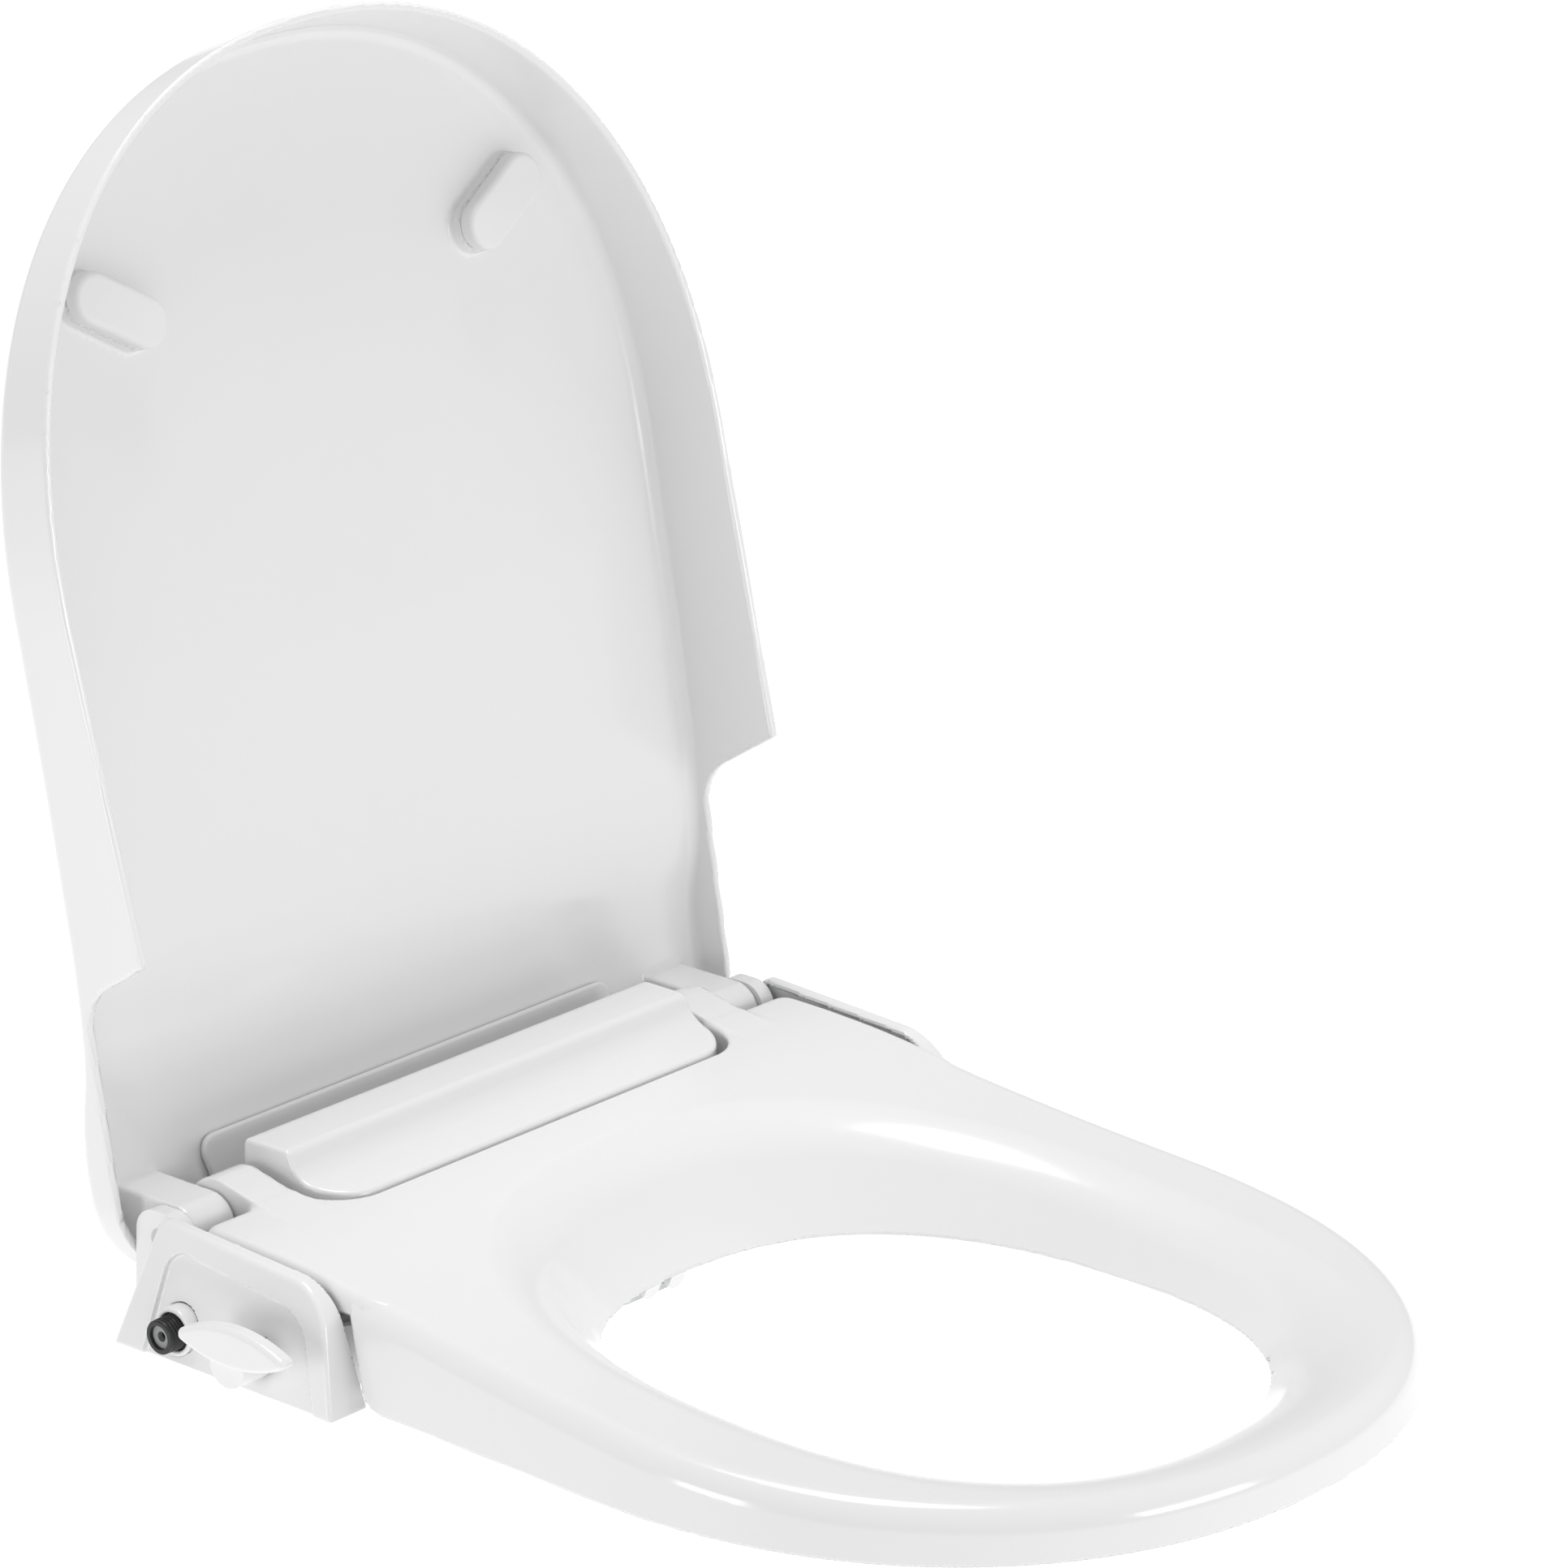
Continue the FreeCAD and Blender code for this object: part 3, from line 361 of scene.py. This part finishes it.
def ring_solid(x, y, z):
    shrink = DRAFT * (z - SEAT_UNDER)
    taper = np.clip((-y - RING_TAPER) / (RING_MIDDLE - RING_TAPER), 0, 1)
    side = RING_REAR_HALF + (RING_HALF - RING_REAR_HALF) * taper - shrink
    back = both_in(np.abs(x) - side, ring_end(y, z), 3)
    front = superellipse(x, np.maximum(-y - RING_MIDDLE, 0), RING_HALF - shrink,
                         RING_TIP - RING_MIDDLE - shrink, RING_POWER)
    return both_in(np.where(y < -RING_MIDDLE, front, back), (z - SEAT_TOP(y)) * HEIGHT_SHARE, RING_EDGE)


def deck_solid(x, y, z):
    """The rear deck; it runs on inside the ring."""
    side = DECK_HALF - DECK_TUCK * step(-y, *DECK_STEP)
    outline = d_outline(x, -y, side, RING_MIDDLE, DECK_HALF - DECK_TUCK, DECK_TIP, DECK_BACK, DECK_CORNER,
                        RING_POWER)
    return both_in(outline, (z - SEAT_TOP(y)) * HEIGHT_SHARE, DECK_EDGE)


def seat_arm(x, y, z):
    """The two arms of the deck, each ending in a knuckle around the hinge pin."""
    back, reach = TANGENT
    high = right_of((ARM_FRONT, ARM_HIGH), (back, HINGE_Z + reach), y, z)
    low = right_of((back, HINGE_Z - reach), (ARM_FRONT, ARM_LOW), y, z)
    arm = np.maximum(np.maximum(high, low), slab(y, ARM_FRONT, 0))
    eye = np.hypot(y, z - HINGE_Z) - KNUCKLE_RADIUS
    return both_in(np.minimum(arm, eye), slab(np.abs(x), *KNUCKLE_X), 1.2)


def seat(x, y, z):
    dish = bowl(x, y, z)
    cut_out = both_in(np.abs(x) - CUT_HALF, CUT_FRONT - y, CUT_CORNER)
    ring = without(ring_solid(x, y, z), dish, CREASE)
    deck = without(without(deck_solid(x, y, z), dish, CREASE), cut_out, 1.6)
    above = SEAT_UNDER - z
    outer = np.maximum(both_in(ring, above, 1.0), both_in(ring_end(y, z), above, RING_EDGE))
    outer = np.minimum(outer, both_in(deck, DECK_UNDER - z, 1.0))
    inner = np.minimum(ring + WALL, np.maximum(deck + WALL, DECK_UNDER - z))
    gate = np.maximum(np.maximum(np.abs(x) - GATE_HALF, z - GATE_TOP), GATE_FRONT - y)
    curtain = np.maximum(np.maximum(deck, dish - WALL), np.maximum(above, CURTAIN_FRONT - y))
    skin = np.minimum(np.maximum(without(outer, inner, 0.6), -gate), curtain)
    skin = either(skin, seat_arm(x, y, z), 3.0)
    return np.maximum(skin, PIN_HOLE - np.hypot(y, z - HINGE_Z))


# --- lid ---------------------------------------------------------------------------------------
LID_BACK = curve([(-20, -28.9), (10, -28.8), (27, -28.5), (46, -25.0), (64, -18.6), (98, -12.2), (140, -8.6),
                  (286, -0.9), (455, 5.6)])
LID_RIM = 33.5           # how deep the skirt is, from the hinge axis towards the seat
LID_HALF, LID_REAR_HALF = 181, 176.5
LID_TAPER, LID_MIDDLE, LID_TIP, LID_BASE = 22, 241, 441, -19
LID_CORNER, LID_EDGE, LID_POWER = 35, 8, 2.2
BASE_FLARE = 0.3         # the share of the draft that the skirt has left at the lid's foot
SKIRT_END, SKIRT_FOOT = (109.7, LID_RIM), (95.5, -7.2)
NOTCH_LOW, NOTCH_END = (3, -17), (-30, -18.5)
TRAY_HALF, TRAY_TOP, TRAY_C = 118, -14.6, -24.6      # the foot's edge behind the rear cover
LUG_X = (138.4, 160.0)
LUG_RADIUS = 12
LUG_BACK = 34
BUMPER_X, BUMPER_B = 104.5, 347.5
BUMPER_TURN = math.radians(31.5)
BOSS_SIZE, BOSS_TOP = (48.5, 21.5), 6.6
PAD_SIZE, PAD_TOP = (47.5, 20.5), 13.6
PLATE_TOP, PLATE_FOOT = (117, 25), (109, -9)         # half width and place up the lid
PLATE_C = (-28.2, -25.4)


def stadium(x, b, length, width):
    """A bar with round ends at the bumper's place, on both sides."""
    u = np.abs(x) - BUMPER_X
    v = b - BUMPER_B
    along = u * math.cos(BUMPER_TURN) + v * math.sin(BUMPER_TURN)
    across = v * math.cos(BUMPER_TURN) - u * math.sin(BUMPER_TURN)
    return np.hypot(np.maximum(np.abs(along) - (length - width) / 2, 0), across) - width / 2


def lid_back(b, c, depth=0.0):
    return (LID_BACK(b) - WALL + depth - c) * HEIGHT_SHARE


def lid_solid(x, b, c):
    grow = DRAFT * (c - LID_RIM)
    run = np.clip((b - LID_TAPER) / (LID_MIDDLE - LID_TAPER), 0, 1)
    side = LID_REAR_HALF + (LID_HALF - LID_REAR_HALF) * run + grow * (BASE_FLARE + (1 - BASE_FLARE) * run)
    outline = d_outline(x, b, side, LID_MIDDLE, LID_HALF + grow, LID_TIP + grow, LID_BASE, LID_CORNER,
                        LID_POWER)
    return both_in(outline, lid_back(b, c), LID_EDGE)


def lid_notch(b, c):
    """Negative where the deep skirt is cut away near the hinge."""
    end = right_of(SKIRT_END, SKIRT_FOOT, b, c)
    rim = right_of(SKIRT_FOOT, NOTCH_LOW, b, c)
    foot = right_of(NOTCH_LOW, NOTCH_END, b, c)
    return both_in(both_in(end, rim, 12), foot, 8)


def lid(x, b, c):
    solid = lid_solid(x, b, c)
    keep = without(c - LID_RIM, lid_notch(b, c), 1.0)
    behind_cover = np.maximum(np.maximum(TRAY_C - c, b - TRAY_TOP), np.abs(x) - TRAY_HALF)
    skin = both_in(shell(solid, WALL), without(keep, behind_cover, 1.0), 1.2)
    boss = both_in(stadium(x, b, *BOSS_SIZE), c - BOSS_TOP, 0.5)
    boss = np.maximum(boss, lid_back(b, c, 1.0))
    skin = either(skin, boss, 1.6)
    y, z = from_hinge(b, c)
    arm = np.maximum(slab(z, -LUG_RADIUS, LUG_RADIUS), np.maximum(-2 - y, y - LUG_BACK))
    eye = np.hypot(y, z) - LUG_RADIUS
    arm = both_in(np.minimum(arm, eye), slab(np.abs(x), *LUG_X), 1.5)
    arm = np.maximum(arm, solid)
    skin = either(skin, arm, 2.0)
    return np.maximum(skin, PIN_HOLE - np.hypot(y, z))


def lid_pad(x, b, c):
    return both_in(both_in(stadium(x, b, *PAD_SIZE), c - PAD_TOP, 2.4), BOSS_TOP - c, 0.3)


def lid_plate(x, b, c):
    side = right_of(PLATE_TOP, PLATE_FOOT, np.abs(x), b)
    return both_in(both_in(both_in(side, b - PLATE_TOP[1], 9), PLATE_FOOT[1] - b, 2), slab(c, *PLATE_C), 1.0)


# --- rear cover and side covers ------------------------------------------------------------------
COVER_HALF, COVER_FRONT, COVER_BACK = 113, -43, 11.5
COVER_TOP, COVER_UNDER = 62.5, 27.5
LEDGE_HIGH, LEDGE_FOOT, COVER_BROW = (COVER_FRONT, 48.9), (-19.5, 52.0), (-14.2, 62.3)
PIN_SLOT, PIN_SLOT_X = 5.6, 105


def rear_cover(x, y, z):
    front = right_of(LEDGE_FOOT, COVER_BROW, y, z)
    upper = both_in(both_in(y - COVER_BACK, z - COVER_TOP, 6), front, 1.8)
    ledge = both_in(COVER_FRONT - y, right_of(LEDGE_HIGH, LEDGE_FOOT, y, z), 3)
    profile = either(upper, np.maximum(ledge, y - COVER_BACK), 5)
    plan = both_in(both_in(np.abs(x) - COVER_HALF, COVER_FRONT - y, CUT_CORNER), y - COVER_BACK, 4)
    solid = both_in(profile, plan, 1.6)
    skin = both_in(shell(solid, COVER_WALL), COVER_UNDER - z, 0.5)
    slot = np.minimum(np.hypot(y, z - HINGE_Z) - PIN_SLOT, np.maximum(np.abs(y) - PIN_SLOT, z - HINGE_Z))
    slot = np.maximum(slot, PIN_SLOT_X - np.abs(x))
    return np.maximum(skin, -slot)


FOOT_X = 187.5           # the outer face's foot
INNER_X = 167.8
LEAN = 0.30
SIDE_BOTTOM = 1.5
SIDE_FRONT, SIDE_BACK = (-110, SIDE_BOTTOM), (6.5, SIDE_BOTTOM)
SIDE_BROW, SIDE_TOP = (-93.5, 46.5), (-6, 51.5)
PANEL_FRONT, PANEL_BROW, PANEL_TOP, PANEL_BACK = (-101, 1), (-86, 35.5), (-14, 42.5), (-9, 1)
PANEL_CORNER, PANEL_DEPTH = 9, 2.2
VALVE, VALVE_HOLE = (-68.0, 17.0), 4.6
INLET, INLET_HOLE = (-24.0, 13.8), 9.8


def side_profile(y, z):
    back = right_of(SIDE_TOP, SIDE_BACK, y, z)
    front = right_of(SIDE_FRONT, SIDE_BROW, y, z)
    top = right_of(SIDE_BROW, SIDE_TOP, y, z)
    return both_in(both_in(both_in(front, top, 13), back, 4), SIDE_BOTTOM - z, 1.0)


def side_cover(x, y, z, ports=True):
    lean = (x - FOOT_X + (z - 3) * LEAN) / math.hypot(1, LEAN)
    profile = side_profile(y, z)
    solid = both_in(both_in(profile, lean, 1.8), INNER_X - x, 0.3)
    panel_front = right_of(PANEL_FRONT, PANEL_BROW, y, z)
    panel_top = right_of(PANEL_BROW, PANEL_TOP, y, z)
    panel_back = right_of(PANEL_TOP, PANEL_BACK, y, z)
    panel = both_in(both_in(panel_front, panel_top, PANEL_CORNER), panel_back, PANEL_CORNER)
    solid = without(solid, both_in(panel, -(lean + PANEL_DEPTH), 1.2), 0.8)
    hollow = np.maximum(np.maximum(profile + COVER_WALL, lean + 4.9), 5.6 - z)
    solid = np.maximum(solid, -hollow)
    if ports:
        solid = without(solid, np.hypot(y - VALVE[0], z - VALVE[1]) - VALVE_HOLE, 0.3)
        solid = without(solid, np.hypot(y - INLET[0], z - INLET[1]) - INLET_HOLE, 0.3)
    return solid


# --- lever and inlet -----------------------------------------------------------------------------
def arc_disc(p, q, r, y, z):
    """The disc whose rim passes through three points."""
    ax, ay = p
    bx, by = q
    cx, cy = r
    d = 2 * (ax * (by - cy) + bx * (cy - ay) + cx * (ay - by))
    a2, b2, c2 = ax * ax + ay * ay, bx * bx + by * by, cx * cx + cy * cy
    ux = (a2 * (by - cy) + b2 * (cy - ay) + c2 * (ay - by)) / d
    uy = (a2 * (cx - bx) + b2 * (ax - cx) + c2 * (bx - ax)) / d
    return np.hypot(y - ux, z - uy) - math.hypot(ax - ux, ay - uy)


LEAF_HIGH = ((19, 12), (3, 18), (-36, 13.5))         # the leaf's upper and lower edge, from the valve's axis
LEAF_LOW = ((-36, 10.5), (-12, 3.5), (19, 8))
LEAF_ENDS, LEAF_X = (-36.4, 19.4), (199, 206.5)
HUB_RADIUS, HUB_X = 9, (184.4, 200)
SOCKET_RADIUS, SOCKET_END = 4.1, 190.2


def lever(x, y, z):
    u, v = y - VALVE[0], z - VALVE[1]
    leaf = both_in(arc_disc(*LEAF_HIGH, u, v), arc_disc(*LEAF_LOW, u, v), 1.4)
    leaf = both_in(both_in(leaf, slab(u, *LEAF_ENDS), 1.4), slab(x, *LEAF_X), 2.2)
    radius = np.hypot(u, v)
    hub = both_in(radius - HUB_RADIUS, slab(x, *HUB_X), 0.6)
    return without(either(leaf, hub, 1.5), np.maximum(radius - SOCKET_RADIUS, x - SOCKET_END))


THREAD_RADIUS, THREAD_DEPTH, THREAD_PITCH = 6.52, 0.45, 1.5
LEAD_X, LEAD_RADIUS = (190.6, 191.6), 6.8            # the plain lip at the spout's mouth
SPOUT_X, COLLAR_X, COLLAR_RADIUS = (160.2, 192.5), (177.1, 182.9), 7.6
MOUTH_RADIUS, MOUTH_END, BORE_RADIUS = 4.7, 187, 3.0
FLANGE_RADII, FLANGE_X = (7.7, 9.8), (178.1, 185.5)


def fitting(x, y, z):
    """A spout with a helical thread and a collar; it is mirrored to the left side, so here x is outwards."""
    v, w = y - INLET[0], z - INLET[1]
    radius = np.hypot(v, w)
    turn = np.arctan2(w, v)
    crest = THREAD_RADIUS + THREAD_DEPTH * np.cos(2 * math.pi * x / THREAD_PITCH + turn)
    lead = step(x, *LEAD_X)
    body = radius - (crest * (1 - lead) + LEAD_RADIUS * lead)
    body = both_in(body * 0.8, slab(x, *SPOUT_X), 0.5)
    collar = both_in(radius - COLLAR_RADIUS, slab(x, *COLLAR_X), 0.4)
    solid = np.minimum(body, collar)
    solid = np.maximum(solid, -np.maximum(radius - MOUTH_RADIUS, MOUTH_END - x))
    return np.maximum(solid, BORE_RADIUS - radius)


def flange(x, y, z):
    radius = np.hypot(y - INLET[0], z - INLET[1])
    inner, outer = FLANGE_RADII
    return both_in(both_in(radius - outer, inner - radius, 0.4), slab(x, *FLANGE_X), 0.9)


# --- camera, light and stage ---------------------------------------------------------------------
AZIMUTH, ELEVATION, ROLL = (math.radians(degrees) for degrees in (48.00883, 19.25328, -0.45703))
CAMERA_OFFSET = Vector((-0.12510, -0.16560, 3.03936))    # from the camera: right, up and ahead, in metres
CAMERA_LENS = 175.80373
SENSOR = 36.0


def make_camera():
    right = Vector((math.cos(AZIMUTH), -math.sin(AZIMUTH), 0))
    level = math.cos(ELEVATION)
    view = Vector((math.sin(AZIMUTH) * level, math.cos(AZIMUTH) * level, -math.sin(ELEVATION)))
    up = right.cross(view)
    right, up = right * math.cos(ROLL) + up * math.sin(ROLL), up * math.cos(ROLL) - right * math.sin(ROLL)
    offset = right * CAMERA_OFFSET.x + up * CAMERA_OFFSET.y + view * CAMERA_OFFSET.z
    place = Vector((0, 0, 0.003)) - offset
    data = bpy.data.cameras.new("camera")
    data.sensor_width = SENSOR
    data.lens = CAMERA_LENS
    data.clip_end = 20
    camera = bpy.data.objects.new("camera", data)
    turn = Matrix((right, up, -view)).transposed().to_4x4()
    camera.matrix_world = Matrix.Translation(place) @ turn
    bpy.context.scene.collection.objects.link(camera)
    bpy.context.scene.camera = camera


def area_light(name, place, target, size, power):
    data = bpy.data.lights.new(name, "AREA")
    data.shape = "RECTANGLE"
    data.size, data.size_y = size
    data.energy = power
    light = bpy.data.objects.new(name, data)
    light.location = place
    aim = Vector(target) - Vector(place)
    light.rotation_euler = aim.to_track_quat("-Z", "Y").to_euler()
    bpy.context.scene.collection.objects.link(light)


FLOOR_HALF, FLOOR_Z = 6.0, -0.075
LIT_MIDDLE = (0, -0.15, 0.15)


def make_stage():
    mesh = bpy.data.meshes.new("floor")
    corners = [(FLOOR_HALF * a, FLOOR_HALF * b, FLOOR_Z) for a, b in ((-1, -1), (1, -1), (1, 1), (-1, 1))]
    mesh.from_pydata(corners, [], [(0, 1, 2, 3)])
    material = bpy.data.materials.new("floor")
    material.use_nodes = True
    shader = material.node_tree.nodes["Principled BSDF"]
    shader.inputs["Base Color"].default_value = (0.3, 0.3, 0.3, 1)
    shader.inputs["Roughness"].default_value = 0.9
    shader.inputs["Emission Color"].default_value = (1, 1, 1, 1)
    shader.inputs["Emission Strength"].default_value = 0.86
    mesh.materials.append(material)
    floor = bpy.data.objects.new("floor", mesh)
    bpy.context.scene.collection.objects.link(floor)
    world = bpy.data.worlds.new("studio")
    world.use_nodes = True
    world.node_tree.nodes["Background"].inputs["Color"].default_value = (1, 1, 1, 1)
    world.node_tree.nodes["Background"].inputs["Strength"].default_value = 0.54
    bpy.context.scene.world = world
    area_light("key", (0.15, 0.2, 1.95), LIT_MIDDLE, (0.6, 0.6), 19)
    area_light("front", (0.4, -2.0, 0.6), LIT_MIDDLE, (1.0, 0.5), 9.5)
    area_light("side", (-1.1, 0.0, 0.12), (0, -0.05, 0.03), (0.3, 0.3), 1.7)
    bpy.context.scene.view_settings.view_transform = "Standard"


def make_pieces():
    moulding("seat_skin", seat, (-182, -432, -1), (182, 20, 60), SEAT_CELL, SEAT_WHITE, "seat", "white_seat",
             ["seat_top"])
    moulding("lid_skin", lid, (-186, -25, -38), (186, 447, 38), LID_CELL, WHITE, "lid", "white_lid",
             ["lid_shell"], lid=True)
    pad_boxes = (("left", (-130, 323, 4), (-79, 372, 16)), ("right", (79, 323, 4), (130, 372, 16)))
    for side, low, high in pad_boxes:
        moulding("lid_pad_" + side, lid_pad, low, high, 0.8, SOFT_WHITE, "lid", "white_bumper",
                 ["lid_bumper_" + side], lid=True)
    moulding("lid_plate", lid_plate, (-120, -12, -31), (120, 28, -22), 1.0, WHITE, "lid", "white_lid",
             ["lid_stiffener"], lid=True)
    moulding("rear_cover_skin", rear_cover, (-116, -46, 25), (116, 14, 66), 1.2, WHITE, "base", "white_cover",
             ["rear_cover"])
    side_box = ((165, -113, -1), (190, 9, 56))
    moulding("left_cover_skin", side_cover, *side_box, 0.9, WHITE, "base", "white_cover", ["left_side_cover"],
             mirror=True)
    moulding("right_cover_skin", lambda x, y, z: side_cover(x, y, z, False), *side_box, 0.9, WHITE, "base",
             "white_cover", ["right_side_cover"])
    moulding("lever_leaf", lever, (182, -107, 5), (209, -40, 41), 0.8, WHITE, "lever", "white_lever",
             ["lever_handle"], mirror=True)
    moulding("inlet_spout", fitting, (158, -34, 4), (195, -14, 24), 0.35, BLACK, "base", "black_fitting",
             ["inlet_fitting"], mirror=True)
    moulding("inlet_ring", flange, (176, -36, 2), (188, -12, 26), 0.6, WHITE, "base", "pale_flange",
             ["inlet_flange"], mirror=True)


make_camera()
make_stage()
finish_cad_nodes()
make_pieces()
